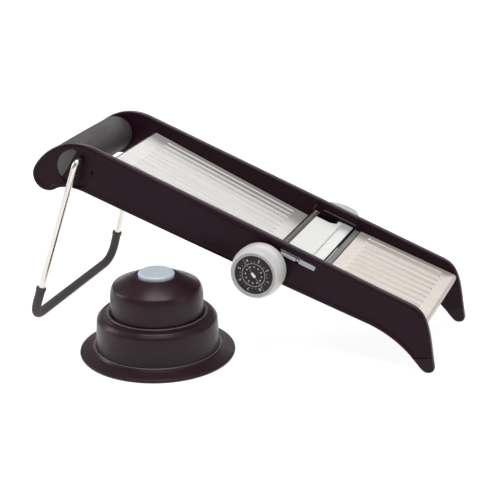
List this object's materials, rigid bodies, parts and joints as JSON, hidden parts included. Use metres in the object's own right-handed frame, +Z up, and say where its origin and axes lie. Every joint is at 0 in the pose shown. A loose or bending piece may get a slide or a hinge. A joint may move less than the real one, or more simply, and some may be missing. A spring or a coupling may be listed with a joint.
{
  "type": "mandoline slicer",
  "caption": "Sloping hand slicer with ribbed steel runway, pull-out blade insert, side thickness knob, folding wire leg and separate spring-loaded food holder.",
  "frame": {"origin": "middle of the bounding box in X and Y, on the table the slicer stands on", "axes": "+X downhill along the slicer towards its rubber-tipped lower end, +Y across it away from the knob side, +Z up"},
  "size_m": [0.3648, 0.2452, 0.1636],
  "materials": {
    "dark_plastic": "satin moulded, nearly black",
    "charcoal_plastic": "fine matt moulded",
    "light_plastic": "light grey semi-gloss",
    "white_plastic": "white satin",
    "grey_plastic": "mid grey satin",
    "blue_plastic": "pale blue-grey satin",
    "rubber": "matt non-slip",
    "soft_grip": "soft-touch",
    "brushed_sheet": "brushed and pressed into ribs",
    "polished_wire": "polished"
  },
  "bodies": {
    "frame": {"near_side_rail": "dark_plastic", "far_side_rail": "dark_plastic", "near_front_boot": "rubber", "far_front_boot": "rubber", "near_shaft_bush": "grey_plastic", "far_shaft_bush": "grey_plastic", "near_leg_bush": "charcoal_plastic", "far_leg_bush": "charcoal_plastic", "near_leg_detent": "dark_plastic", "far_leg_detent": "dark_plastic", "handle_grip": "soft_grip", "runway_axle": "polished_wire", "landing_plate": "brushed_sheet", "landing_tray": "charcoal_plastic", "tray_screw_1": "polished_wire", "tray_screw_2": "polished_wire", "tray_screw_3": "polished_wire", "tray_screw_4": "polished_wire", "crossbar": "grey_plastic"},
    "leg": {"leg_wire": "polished_wire", "leg_sleeve": "rubber"},
    "runway": {"runway_plate": "brushed_sheet", "runway_frame": "charcoal_plastic"},
    "adjuster": {"cam_shaft": "polished_wire", "knob_wheel": "light_plastic", "dial_face": "charcoal_plastic", "dial_boss": "polished_wire"},
    "insert": {"blade_carrier": "white_plastic", "wavy_blade": "brushed_sheet", "straight_blade": "brushed_sheet", "insert_tab": "light_plastic", "insert_catch": "light_plastic", "blade_rivet_1": "polished_wire", "blade_rivet_2": "polished_wire", "blade_rivet_3": "polished_wire", "blade_rivet_4": "polished_wire", "insert_end_block": "charcoal_plastic"},
    "holder": {"holder_base": "charcoal_plastic", "holder_spring": "polished_wire"},
    "plunger": {"holder_cap": "charcoal_plastic", "prong_plate": "brushed_sheet", "plunger_core": "grey_plastic", "button_spring": "polished_wire"},
    "button": {"holder_button": "blue_plastic"}
  },
  "joints": [
    {"name": "leg_fold", "type": "hinge", "parent": "frame", "child": "leg", "pos_m": [-0.13541, 0.03859, 0.14996], "axis": [0, -1, 0], "range_deg": [0, 74.5]},
    {"name": "knob_turn", "type": "hinge", "parent": "frame", "child": "adjuster", "pos_m": [0.03353, 0.03859, 0.07636], "axis": [0, 1, 0], "range_deg": [0, 240]},
    {"name": "runway_tilt", "type": "hinge", "parent": "frame", "child": "runway", "pos_m": [-0.11239, 0.03859, 0.14085], "axis": [0, -1, 0], "range_deg": [0, 2.6]},
    {"name": "insert_slide", "type": "slide", "parent": "frame", "child": "insert", "axis": [0, 1, 0], "range_m": [0, 0.125]},
    {"name": "holder_slide", "type": "slide", "parent": "frame", "child": "holder", "axis": [0, -1, 0], "range_m": [0, 0.112]},
    {"name": "plunger_press", "type": "slide", "parent": "holder", "child": "plunger", "axis": [0, 0, -1], "range_m": [0, 0.012], "stiffness_N_per_m": 400, "springref_m": -0.006, "deforming": ["holder_spring"]},
    {"name": "button_press", "type": "slide", "parent": "plunger", "child": "button", "axis": [0, 0, -1], "range_m": [0, 0.003], "stiffness_N_per_m": 600, "springref_m": -0.001, "deforming": ["button_spring"]}
  ],
  "couplings": [
    {"joint": "runway_tilt", "follows": "knob_turn", "ratio": 0.010417},
    {"joint": "holder_slide", "follows": "leg_fold", "m_per_rad": 0.086}
  ]
}
